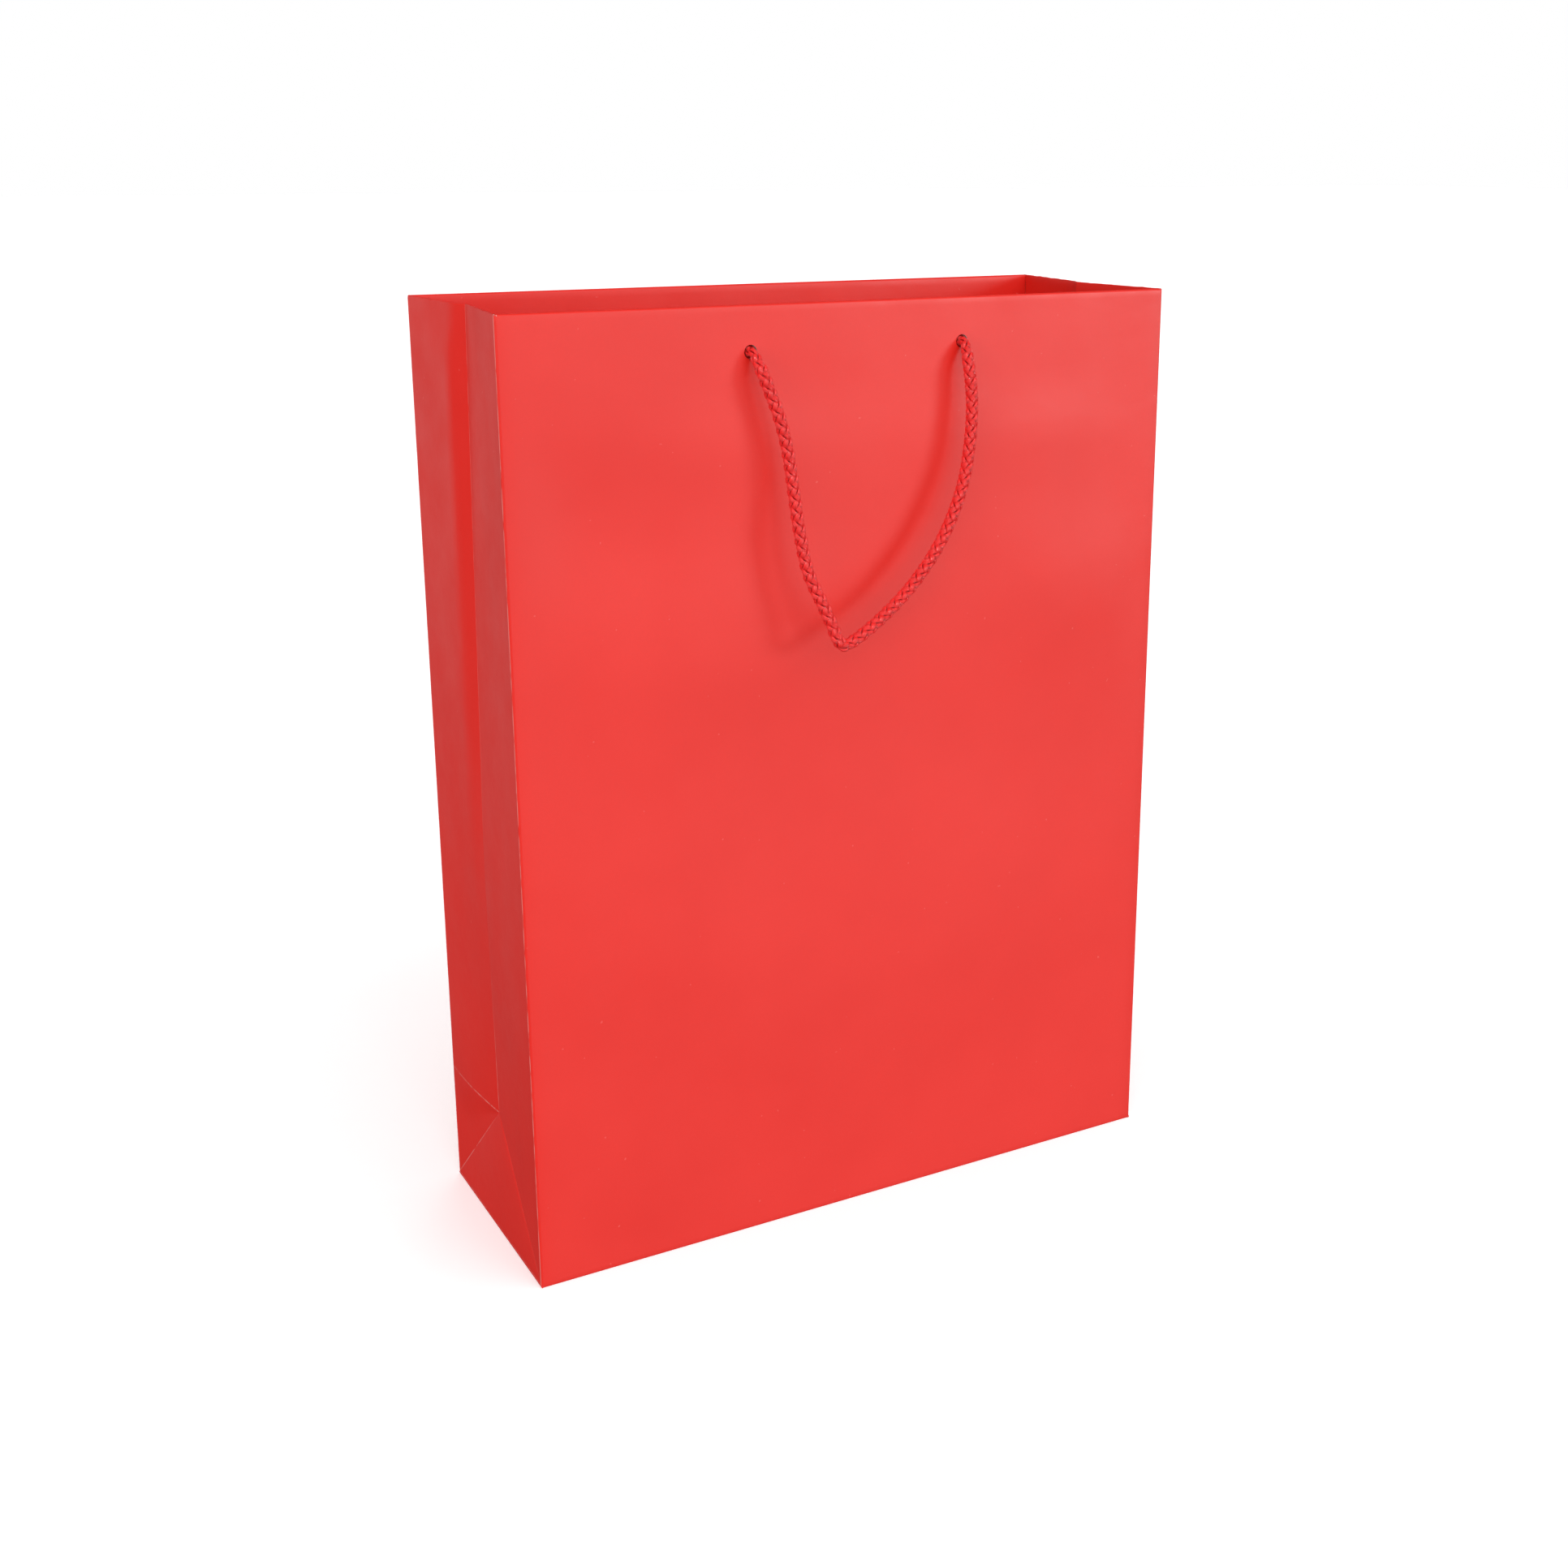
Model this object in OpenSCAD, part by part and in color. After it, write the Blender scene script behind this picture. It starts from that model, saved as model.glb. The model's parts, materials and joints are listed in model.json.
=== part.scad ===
// Gift bag of folded paper with two cord handles.
// Millimetres, +Z up, front towards -Y, origin under the middle of the base.
// The walls and gussets are flat panels between creases, standing as the bag stands open.

/* [Bag] */
// Width of the front and back panels
bag_w = 250; // [180:1:320]
// Depth from front to back at the base
bag_d = 90; // [70:1:120]
// Height of the opened bag
bag_h = 330; // [280:1:400]
// Angle that each wall leans in as the bag stands open, in degrees
lean = 0.1; // [0.05:0.05:0.6]

/* [Paper] */
// Thickness of the laminated paper
paper_t = 0.4; // [0.3:0.05:0.5]
// Depth of the hem turned in at the rim
hem_depth = 40; // [30:1:50]
// Thickness of the card strip inside the hem
card_t = 0.8; // [0.5:0.1:1]
// Depth of the card strip inside the hem
card_depth = 36; // [26:1:38]

/* [Base] */
// Length of the front and back base flaps
flap_l = 65; // [60:1:70]
// Thickness of the loose base board
board_t = 1.2; // [0.8:0.1:1.5]

/* [Handles] */
// Diameter of the braided cord
cord_d = 4; // [3:0.1:4.2]
// Diameter of the punched holes
hole_d = 4.6; // [4.6:0.1:5]
// Distance between the two holes of one handle
hole_span = 80; // [80:1:80]
// Distance from the rim down to the hole centres
hole_drop = 15; // [12:1:18]
// Diameter of the knots inside the bag
knot_d = 10; // [8:0.5:11]
// Length of a knot along the cord
knot_l = 8; // [6:0.5:9]

/* [Hidden] */
half_w = bag_w / 2;
half_d = bag_d / 2;
// The wall and gusset creases at the base lie in the middle of the folded base
hinge_z = 0.6;
side_h = bag_h - hinge_z;
// Lowest edge of the walls and of the gusset feet above their crease
wall_rise = 0.9;
foot_rise = 1.2;
hole_up = side_h - hole_drop;

// Gaps left along the creases, so that the panels clear each other as they fold
edge_gap = 1.0;
fold_gap = 0.5;
foot_gap = 1.0;
tuck_gap = 0.9;
apex_gap = 1.0;
fold_apex_gap = 1.7;
mouth_gap = 7.5;
corner_gap = 4.2;
hem_edge_gap = 10;
card_edge_gap = 13;
gusset_hem_gap = 7.5;
board_side_gap = 2.5;
board_wall_gap = 1.5;
seam_side_gap = 1.5;
seam_foot_gap = 3;
seam_hem_gap = 1;

// Base layers from the floor up
seam_w = 16;
dust_flap_l = 42;
dust_flap_cut = 38;
outer_flap_z = 0;
inner_flap_z = paper_t;
dust_flap_z = 2 * paper_t;
board_z = 3 * paper_t;

// Standing shape of one gusset half: corner crease top, apex, and top of the middle crease
edge_turn = acos(tan(45 - lean / 2));
corner_top = [0, side_h * sin(lean), side_h * cos(lean)];
apex = [half_d * sin(edge_turn), half_d, half_d * cos(edge_turn)];
reach = sqrt(pow(half_d, 2) - pow(half_d - corner_top.y, 2));
middle_l = side_h - half_d;
apex_to_corner = [-apex.x, corner_top.z - apex.z];
span = norm(apex_to_corner);
along = (pow(middle_l, 2) - pow(reach, 2) + pow(span, 2)) / (2 * span);
aside = sqrt(pow(middle_l, 2) - pow(along, 2));
up_dir = apex_to_corner / span;
middle_top = [
    apex.x + along * up_dir.x + aside * up_dir.y,
    half_d,
    apex.z + along * up_dir.y - aside * up_dir.x
];

// Turn of the fold panel about the slanting crease
fold_dir = unit(corner_top - apex);
edge_side = unit(across(-apex, fold_dir));
middle_side = unit(across(middle_top - apex, fold_dir));
fold_turn = -acos(-edge_side * middle_side);

// Depth of the wall layers behind the outer face
card_in = paper_t;
hem_in = paper_t + card_t;
lining_in = 2 * paper_t + card_t;

// Handle cord, from its pivot at one hole down and up to its pivot at the other
cord_sides = 8;
stub_out = 1.3;
handle_route = [
    [-40, -48.5, 315],
    [-38.4, -50.2, 308],
    [-36.4, -51.2, 302],
    [-34.3, -52, 296],
    [-31.7, -53, 285],
    [-29.8, -54, 270],
    [-28.4, -55.5, 256],
    [-26.1, -57, 243],
    [-21.7, -59, 232],
    [-18.9, -60, 225],
    [-17.4, -61, 220.5],
    [-15.2, -61, 218.3],
    [-11.6, -60.5, 219],
    [-5.6, -60, 222],
    [3.8, -58.5, 227.6],
    [12.9, -57, 234.3],
    [22.1, -56, 244],
    [29.1, -55, 254],
    [35.4, -54, 268],
    [38.5, -53, 282],
    [39.7, -52, 295],
    [39.2, -50.2, 308],
    [40, -48.5, 315]
];

function unit(v) = v / norm(v);
function across(v, direction) = v - direction * (v * direction);

// Height of the slanting gusset crease at a distance from the corner crease
function crease_v(u) = side_h - u * middle_l / half_d;

// ---- Frames of the panels ----

// Drawing plane on the front wall: x along the bag, y up the wall, z out of the wall
module on_front_wall() {
    translate([0, -half_d, hinge_z]) rotate([-lean, 0, 0]) rotate([90, 0, 0]) children();
}

// A layer of the front wall between two depths behind the outer face
module wall_layer(from, to) {
    translate([0, 0, -to]) linear_extrude(to - from) children();
}

// Rectangle between two x and two y
module strip(left_x, right_x, low_v, high_v) {
    polygon([[left_x, low_v], [right_x, low_v], [right_x, high_v], [left_x, high_v]]);
}

module to_back() {
    rotate([0, 0, 180]) children();
}

// Drawing planes of the left front gusset half: x from the corner crease to the middle, y up
module on_gusset_edge() {
    translate([-half_w, -half_d, hinge_z]) rotate([-lean, 0, 0]) rotate([0, 0, -edge_turn])
        rotate([90, 0, 90]) children();
}

module on_gusset_fold() {
    on_gusset_edge() translate([half_d, half_d, 0]) rotate(a = fold_turn, v = [-half_d, middle_l, 0])
        translate([-half_d, -half_d, 0]) children();
}

module on_gusset_foot() {
    translate([-half_w, -half_d, hinge_z]) rotate([0, edge_turn, 0]) rotate([90, 0, 90]) children();
}

// Copies of a left front piece at the other corners
module left_back() {
    mirror([0, 1, 0]) children();
}

module right_front() {
    mirror([1, 0, 0]) children();
}

module right_back() {
    mirror([1, 0, 0]) mirror([0, 1, 0]) children();
}

// ---- Walls ----

module hole_bores() {
    bore_l = 20;
    for (side = [-1, 1])
        translate([side * hole_span / 2, hole_up, -bore_l / 2]) cylinder(h = bore_l, d = hole_d, $fn = 48);
}

module wall_panel() {
    difference() {
        wall_layer(0, paper_t) strip(-half_w, half_w, wall_rise, side_h);
        hole_bores();
    }
}

module rim_card() {
    reach_x = half_w - card_edge_gap;
    top_v = side_h - paper_t;
    difference() {
        wall_layer(card_in, hem_in) strip(-reach_x, reach_x, top_v - card_depth, top_v);
        hole_bores();
    }
}

// The hem turns over the top of the card and runs down behind it
module rim_hem() {
    reach_x = half_w - hem_edge_gap;
    difference() {
        union() {
            wall_layer(hem_in, lining_in) strip(-reach_x, reach_x, side_h - hem_depth, side_h);
            wall_layer(card_in, lining_in) strip(-reach_x, reach_x, side_h - paper_t, side_h);
        }
        hole_bores();
    }
}

// Stopper knot behind the hem, with the cord end that runs through the hole
module wall_knot(side) {
    knot_r = knot_d / 2;
    cord_r = cord_d / 2;
    shoulder = 2;
    translate([side * hole_span / 2, hole_up, 0]) {
        translate([0, 0, -lining_in - knot_l])
            rotate_extrude($fn = 48)
                polygon([
                    [0, 0], [knot_r - shoulder, 0], [knot_r, shoulder],
                    [knot_r, knot_l - shoulder], [knot_r - shoulder, knot_l], [0, knot_l]
                ]);
        translate([0, 0, -lining_in - 1]) cylinder(h = lining_in + 1 + stub_out, r = cord_r, $fn = 32);
    }
}

module seam_flap() {
    right_x = half_w - seam_side_gap;
    top_v = side_h - hem_depth - seam_hem_gap;
    wall_layer(paper_t, 2 * paper_t) strip(right_x - seam_w, right_x, seam_foot_gap, top_v);
}

// ---- Gussets ----

// Narrow triangle beside the corner crease
module gusset_edge_plate() {
    apex_u = half_d - apex_gap;
    linear_extrude(paper_t)
        polygon([
            [edge_gap, edge_gap + tuck_gap],
            [apex_u, apex_u + tuck_gap],
            [apex_u, crease_v(apex_u + fold_gap)],
            [edge_gap, crease_v(edge_gap + fold_gap)]
        ]);
}

// Long triangle between the slanting crease and the middle crease
module gusset_fold_plate() {
    low_part = (fold_apex_gap + fold_gap) / (half_d - mouth_gap + fold_apex_gap);
    shoulder_u = 2;
    linear_extrude(paper_t)
        polygon([
            [half_d * (1 - low_part) + fold_gap, half_d + low_part * middle_l],
            [half_d - mouth_gap, side_h],
            [corner_gap, side_h],
            [shoulder_u, crease_v(shoulder_u - fold_gap)]
        ]);
}

// The hem turned in behind the long triangle
module gusset_hem_plate() {
    middle_u = half_d - mouth_gap - paper_t;
    translate([0, 0, paper_t]) linear_extrude(paper_t)
        strip(gusset_hem_gap, middle_u, side_h - hem_depth, side_h - paper_t);
}

// Triangle that stands on the side edge of the base
module gusset_foot_plate() {
    linear_extrude(paper_t)
        polygon([
            [foot_rise + foot_gap, foot_rise],
            [bag_d - foot_rise - foot_gap, foot_rise],
            [half_d, half_d - foot_gap]
        ]);
}

// ---- Handle ----

function route_tangent(i) =
    let (last = len(handle_route) - 1)
    unit(handle_route[min(i + 1, last)] - handle_route[max(i - 1, 0)]);

// One ring of the tube: a radius round a point that lies ahead of route point i by a distance
function cord_ring(i, ahead, ring_r) =
    let (t = route_tangent(i), side = unit(cross(t, [0, 1, 0])), up = cross(side, t))
    [for (k = [0 : cord_sides - 1])
        let (a = 360 * k / cord_sides)
        handle_route[i] + ahead * t + ring_r * (cos(a) * side + sin(a) * up)];

// A tube along the route with a domed end at each pivot
module handle_loop() {
    r = cord_d / 2;
    last = len(handle_route) - 1;
    rings = concat(
        [for (a = [70, 35]) cord_ring(0, -r * sin(a), r * cos(a))],
        [for (i = [0 : last]) cord_ring(i, 0, r)],
        [for (a = [35, 70]) cord_ring(last, r * sin(a), r * cos(a))]
    );
    points = [for (ring = rings) each ring];
    walls = [for (i = [0 : len(rings) - 2], k = [0 : cord_sides - 1])
        let (next = (k + 1) % cord_sides, low = i * cord_sides, high = (i + 1) * cord_sides)
        [low + k, low + next, high + next, high + k]];
    start_cap = [[for (k = [cord_sides - 1 : -1 : 0]) k]];
    end_cap = [[for (k = [0 : cord_sides - 1]) (len(rings) - 1) * cord_sides + k]];
    polyhedron(points, concat(start_cap, walls, end_cap));
}

// ---- Base ----

module base_flap() {
    linear_extrude(paper_t)
        polygon([
            [-half_w, -half_d], [half_w, -half_d],
            [half_w, half_d - flap_l / 2], [half_w - flap_l / 4, flap_l - half_d],
            [flap_l / 4 - half_w, flap_l - half_d], [-half_w, half_d - flap_l / 2]
        ]);
}

module dust_flap() {
    linear_extrude(paper_t)
        polygon([
            [-half_w, -half_d + 1], [dust_flap_l - half_w, dust_flap_cut - half_d],
            [dust_flap_l - half_w, half_d - dust_flap_cut], [-half_w, half_d - 1]
        ]);
}

module base_outer_flap() {
    color("firebrick") to_back() translate([0, 0, outer_flap_z]) base_flap();
}

module base_inner_flap() {
    color("crimson") translate([0, 0, inner_flap_z]) base_flap();
}

module base_left_flap() {
    color("indianred") translate([0, 0, dust_flap_z]) dust_flap();
}

module base_right_flap() {
    color("indianred") to_back() translate([0, 0, dust_flap_z]) dust_flap();
}

module base_board() {
    reach_x = half_w - board_side_gap;
    reach_y = half_d - board_wall_gap;
    color("lightgray") translate([-reach_x, -reach_y, board_z]) cube([2 * reach_x, 2 * reach_y, board_t]);
}

// ---- Nodes of the two walls ----

module front_panel() {
    color("tomato") on_front_wall() wall_panel();
}

module front_rim_card() {
    color("wheat") on_front_wall() rim_card();
}

module front_hem() {
    color("red") on_front_wall() rim_hem();
}

module front_left_knot() {
    color("maroon") on_front_wall() wall_knot(-1);
}

module front_right_knot() {
    color("maroon") on_front_wall() wall_knot(1);
}

module back_panel() {
    color("tomato") to_back() on_front_wall() wall_panel();
}

module back_rim_card() {
    color("wheat") to_back() on_front_wall() rim_card();
}

module back_hem() {
    color("red") to_back() on_front_wall() rim_hem();
}

module back_left_knot() {
    color("maroon") to_back() on_front_wall() wall_knot(1);
}

module back_right_knot() {
    color("maroon") to_back() on_front_wall() wall_knot(-1);
}

module side_seam_flap() {
    color("orangered") left_back() on_front_wall() seam_flap();
}

// ---- Nodes of the two gussets ----

module left_gusset_foot() {
    color("salmon") on_gusset_foot() gusset_foot_plate();
}

module right_gusset_foot() {
    color("salmon") right_front() on_gusset_foot() gusset_foot_plate();
}

module left_front_gusset_edge() {
    color("brown") on_gusset_edge() gusset_edge_plate();
}

module left_back_gusset_edge() {
    color("brown") left_back() on_gusset_edge() gusset_edge_plate();
}

module right_front_gusset_edge() {
    color("brown") right_front() on_gusset_edge() gusset_edge_plate();
}

module right_back_gusset_edge() {
    color("brown") right_back() on_gusset_edge() gusset_edge_plate();
}

module left_front_gusset_fold() {
    color("coral") on_gusset_fold() gusset_fold_plate();
}

module left_back_gusset_fold() {
    color("coral") left_back() on_gusset_fold() gusset_fold_plate();
}

module right_front_gusset_fold() {
    color("coral") right_front() on_gusset_fold() gusset_fold_plate();
}

module right_back_gusset_fold() {
    color("coral") right_back() on_gusset_fold() gusset_fold_plate();
}

module left_front_gusset_hem() {
    color("red") on_gusset_fold() gusset_hem_plate();
}

module left_back_gusset_hem() {
    color("red") left_back() on_gusset_fold() gusset_hem_plate();
}

module right_front_gusset_hem() {
    color("red") right_front() on_gusset_fold() gusset_hem_plate();
}

module right_back_gusset_hem() {
    color("red") right_back() on_gusset_fold() gusset_hem_plate();
}

module front_handle() {
    color("darkred") handle_loop();
}

module back_handle() {
    color("darkred") to_back() handle_loop();
}

base_outer_flap();
base_inner_flap();
base_left_flap();
base_right_flap();
base_board();
front_panel();
front_rim_card();
front_hem();
front_left_knot();
front_right_knot();
back_panel();
back_rim_card();
back_hem();
back_left_knot();
back_right_knot();
side_seam_flap();
left_gusset_foot();
right_gusset_foot();
left_front_gusset_edge();
left_back_gusset_edge();
right_front_gusset_edge();
right_back_gusset_edge();
left_front_gusset_fold();
left_back_gusset_fold();
right_front_gusset_fold();
right_back_gusset_fold();
left_front_gusset_hem();
left_back_gusset_hem();
right_front_gusset_hem();
right_back_gusset_hem();
front_handle();
back_handle();
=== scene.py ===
"""Looks of a folded paper gift bag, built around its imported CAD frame. Metres, +Z up, front towards -Y."""
import json
import math

import bmesh
import bpy
import numpy as np
from mathutils import Matrix, Vector, noise


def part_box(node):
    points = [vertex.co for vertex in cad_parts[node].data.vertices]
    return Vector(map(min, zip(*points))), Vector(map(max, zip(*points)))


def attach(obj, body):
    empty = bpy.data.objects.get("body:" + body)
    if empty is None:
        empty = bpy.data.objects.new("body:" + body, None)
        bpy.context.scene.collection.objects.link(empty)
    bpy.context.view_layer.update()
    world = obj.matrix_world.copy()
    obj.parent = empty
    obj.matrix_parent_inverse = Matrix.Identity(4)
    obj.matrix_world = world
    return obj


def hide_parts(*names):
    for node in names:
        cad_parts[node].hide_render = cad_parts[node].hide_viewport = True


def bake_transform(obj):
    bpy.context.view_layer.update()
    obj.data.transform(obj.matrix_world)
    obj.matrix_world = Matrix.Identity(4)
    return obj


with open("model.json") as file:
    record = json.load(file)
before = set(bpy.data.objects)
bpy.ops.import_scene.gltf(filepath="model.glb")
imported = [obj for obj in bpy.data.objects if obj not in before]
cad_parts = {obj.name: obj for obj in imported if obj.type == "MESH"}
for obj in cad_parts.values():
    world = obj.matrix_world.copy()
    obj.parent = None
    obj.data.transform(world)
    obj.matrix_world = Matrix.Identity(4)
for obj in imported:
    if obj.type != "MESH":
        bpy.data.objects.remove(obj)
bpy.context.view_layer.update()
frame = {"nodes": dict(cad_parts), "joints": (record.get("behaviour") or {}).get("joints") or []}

# ---- Sizes, taken from the frame where it holds them ----

MM = 0.001
JOINTS = {joint["name"]: joint for joint in frame["joints"]}
HALF_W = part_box("base_outer_flap")[1].x
HALF_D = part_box("base_outer_flap")[1].y
RIM_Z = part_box("front_panel")[1].z
HINGE_Z = JOINTS["mouth_close"]["pos_m"][2]
PAPER_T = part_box("base_outer_flap")[1].z
HEM_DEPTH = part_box("front_hem")[1].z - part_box("front_hem")[0].z
FLAP_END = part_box("base_inner_flap")[1].y
# Thickness at the rim: a wall's two layers with the card strip between them, and a gusset's two layers
WALL_T = 1.6 * MM
GUSSET_T = 2 * PAPER_T
# Gap left between two sheets that lie on each other, and behind the glued seam flap
SHEET_GAP = 0.02 * MM
SEAM_GAP = 0.03 * MM
# Radius of the rounded corner creases, and of the punched holes
CORNER_R = 0.8 * MM
HOLE_R = 2.3 * MM
HOLE_X = abs(sum(corner.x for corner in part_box("front_left_knot")) / 2)
HOLE_Z = JOINTS["front_handle_swing"]["pos_m"][2]

# ---- Camera ----

# The camera fitted to the photograph: angles in degrees, lens and sensor in millimetres, and the shift as
# a share of the sensor's width
CAMERA_PLACE = (-316.6 * MM, -613.3 * MM, 378.9 * MM)
CAMERA_AZIMUTH = -29.9
CAMERA_ELEVATION = 15.52
CAMERA_ROLL = 0.26
CAMERA_LENS = 44.63
CAMERA_SENSOR = 36
CAMERA_SHIFT = (-0.0647, -0.0624)


def add_camera():
    """The photograph's camera, from where it stands and how it is turned."""
    azimuth, elevation, roll = (math.radians(a) for a in (CAMERA_AZIMUTH, CAMERA_ELEVATION, CAMERA_ROLL))
    level = math.cos(elevation)
    back = Vector((math.sin(azimuth) * level, -math.cos(azimuth) * level, math.sin(elevation)))
    right = Vector((math.cos(azimuth), math.sin(azimuth), 0))
    up = back.cross(right)
    x_axis = right * math.cos(roll) + up * math.sin(roll)
    y_axis = back.cross(x_axis)
    camera = bpy.data.objects.new("camera", bpy.data.cameras.new("camera"))
    turn = Matrix((x_axis, y_axis, back)).transposed().to_4x4()
    camera.matrix_world = Matrix.Translation(CAMERA_PLACE) @ turn
    camera.data.lens = CAMERA_LENS
    camera.data.sensor_width = CAMERA_SENSOR
    camera.data.shift_x, camera.data.shift_y = CAMERA_SHIFT
    bpy.context.scene.collection.objects.link(camera)
    bpy.context.scene.camera = camera


# ---- Materials ----


class Nodes:
    """A material with one Principled shader, and short calls for the nodes in front of it."""

    def __init__(self, name, base_color, roughness, **sockets):
        self.material = bpy.data.materials.new(name)
        self.material.use_nodes = True
        self.tree = self.material.node_tree
        self.shader = self.tree.nodes["Principled BSDF"]
        self.set(self.shader, **{"Base Color": (*base_color, 1), "Roughness": roughness}, **sockets)
        self.place = self.add("ShaderNodeAttribute", attribute_name="rest_place").outputs["Vector"]

    def connect(self, socket, value):
        """Links another node's output to a socket, or sets the socket to a constant."""
        if isinstance(value, bpy.types.NodeSocket):
            self.tree.links.new(value, socket)
        else:
            socket.default_value = value

    def set(self, node, **sockets):
        """Connects a node's sockets by name."""
        for socket, value in sockets.items():
            self.connect(node.inputs[socket], value)

    def add(self, kind, sockets=None, **settings):
        """A new node with its settings, its sockets connected."""
        node = self.tree.nodes.new(kind)
        for key, value in settings.items():
            setattr(node, key, value)
        self.set(node, **(sockets or {}))
        return node

    def noise(self, size, detail=3.0, stretch=None, roughness=0.55):
        """Noise with features of a size in metres, stretched by a factor on each axis."""
        place = self.place
        if stretch:
            place = self.add("ShaderNodeMapping", {"Vector": place, "Scale": stretch}).outputs["Vector"]
        sockets = {"Vector": place, "Scale": 1 / size, "Detail": detail, "Roughness": roughness}
        return self.add("ShaderNodeTexNoise", sockets).outputs["Fac"]

    def spread(self, value, low, high, to_low=0.0, to_high=1.0):
        """The range from low to high stretched to another range, and held at its ends."""
        sockets = {"Value": value, "From Min": low, "From Max": high, "To Min": to_low, "To Max": to_high}
        return self.add("ShaderNodeMapRange", sockets).outputs["Result"]

    def math(self, operation, a, b):
        node = self.add("ShaderNodeMath", operation=operation)
        for socket, value in zip(node.inputs, (a, b)):
            self.connect(socket, value)
        return node.outputs["Value"]

    def mix(self, factor, a, b):
        """Colour a where the factor is 0 and colour b where it is 1."""
        node = self.add("ShaderNodeMix", data_type="RGBA")
        self.connect(node.inputs["Factor"], factor)
        for socket, colour in zip((node.inputs[6], node.inputs[7]), (a, b)):
            self.connect(socket, colour if isinstance(colour, bpy.types.NodeSocket) else (*colour, 1))
        return node.outputs[2]

    def bump(self, height, distance, normal=None):
        """A normal bent by relief of a depth in metres, on top of another normal."""
        sockets = {"Height": height, "Distance": distance, "Strength": 1.0}
        if normal:
            sockets["Normal"] = normal
        return self.add("ShaderNodeBump", sockets).outputs["Normal"]

    def attribute(self, name):
        return self.add("ShaderNodeAttribute", attribute_name=name).outputs["Fac"]


def laminated_paper():
    """Red paper under a satin film: faint mottling, paper grain, and pale lines where a crease is worn."""
    n = Nodes("laminated_red_paper", (0.76, 0.018, 0.010), 0.42, **{"Specular IOR Level": 0.32})
    cloud = n.spread(n.noise(0.06), 0.3, 0.7)
    fibres = n.spread(n.noise(0.0009, detail=2), 0.3, 0.7)
    red = n.mix(cloud, (0.74, 0.015, 0.008), (0.78, 0.019, 0.011))
    red = n.mix(n.math("MULTIPLY", fibres, 0.16), red, (0.66, 0.017, 0.012))
    speck = n.spread(n.noise(0.0022, detail=1), 0.79, 0.82)
    red = n.mix(n.math("MULTIPLY", speck, 0.18), red, (0.9, 0.3, 0.28))
    broken = n.spread(n.noise(0.0022, detail=4, stretch=(1, 1, 0.35)), 0.34, 0.55)
    worn = n.math("MULTIPLY", n.attribute("wear"), broken)
    n.set(n.shader, **{"Base Color": n.mix(n.math("MULTIPLY", worn, 0.85), red, (0.80, 0.42, 0.38))})
    rubbed = n.spread(n.noise(0.02, detail=5), 0.3, 0.7, 0.37, 0.48)
    n.set(n.shader, **{"Roughness": n.math("MAXIMUM", rubbed, n.math("MULTIPLY", worn, 0.8))})
    grain = n.bump(n.noise(0.00035, detail=2), 0.000012)
    n.set(n.shader, Normal=n.bump(n.noise(0.006, detail=3), 0.00006, grain))
    return n.material


def bare_paper():
    """The uncoated white back of the sheet, with its fibres."""
    n = Nodes("uncoated_white_paper", (0.84, 0.82, 0.79), 0.88, **{"Specular IOR Level": 0.3})
    cloud = n.spread(n.noise(0.012, detail=4), 0.3, 0.7)
    fibre = n.spread(n.noise(0.0012, detail=4, stretch=(1, 1, 0.3)), 0.35, 0.7)
    white = n.mix(cloud, (0.80, 0.78, 0.75), (0.88, 0.86, 0.83))
    n.set(n.shader, **{"Base Color": n.mix(n.math("MULTIPLY", fibre, 0.25), white, (0.70, 0.67, 0.62))})
    n.set(n.shader, Roughness=n.spread(cloud, 0, 1, 0.82, 0.93))
    n.set(n.shader, Normal=n.bump(fibre, 0.00004))
    return n.material


def grey_card(name, pale, dark):
    """Recycled board: mottled, with darker flecks."""
    n = Nodes(name, pale, 0.9, **{"Specular IOR Level": 0.3})
    cloud = n.spread(n.noise(0.008, detail=5), 0.3, 0.7)
    fleck = n.spread(n.noise(0.0014, detail=2), 0.62, 0.72)
    board = n.mix(cloud, pale, dark)
    flecked = n.mix(n.math("MULTIPLY", fleck, 0.6), board, tuple(c * 0.5 for c in dark))
    n.set(n.shader, **{"Base Color": flecked})
    n.set(n.shader, Roughness=n.spread(cloud, 0, 1, 0.84, 0.95))
    n.set(n.shader, Normal=n.bump(n.noise(0.0009, detail=4), 0.00005))
    return n.material


# How far the filaments' wave runs from a strand's middle to its side, in radians
FILAMENT_WAVES = 34.0


def braided_cord():
    """Satin red yarn: fine filaments that run along each strand with painted highlights on them, and painted
    shade where strands pass under others and on the core between them.
    """
    sheen = {"Sheen Weight": 0.03, "Sheen Roughness": 0.4, "Sheen Tint": (1.0, 0.3, 0.28, 1)}
    n = Nodes("braided_red_cord", (0.8, 0.02, 0.018), 0.4, **{"Specular IOR Level": 0.6}, **sheen)
    fuzz = n.math("MULTIPLY", n.noise(0.0004, detail=3), 3.0)
    across = n.math("MULTIPLY", n.attribute("across"), FILAMENT_WAVES)
    filaments_and_highlight = n.spread(n.math("SINE", n.math("ADD", across, fuzz), 0.0), -1, 1)
    cloud = n.spread(n.noise(0.006, detail=4), 0.3, 0.7)
    red = n.mix(cloud, (0.86, 0.009, 0.009), (0.95, 0.015, 0.014))
    # Painted highlight: paler pink along each filament's crest
    red = n.mix(n.math("MULTIPLY", filaments_and_highlight, 0.3), red, (0.97, 0.08, 0.075))
    # Painted shade: dark red where a strand passes under the others, and on the core that shows between the
    # strands
    n.set(n.shader, **{"Base Color": n.mix(n.attribute("painted_shade"), red, (0.30, 0.002, 0.004))})
    n.set(n.shader, Roughness=n.spread(filaments_and_highlight, 0, 1, 0.42, 0.30))
    n.set(n.shader, Normal=n.bump(filaments_and_highlight, 0.00006))
    return n.material


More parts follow.
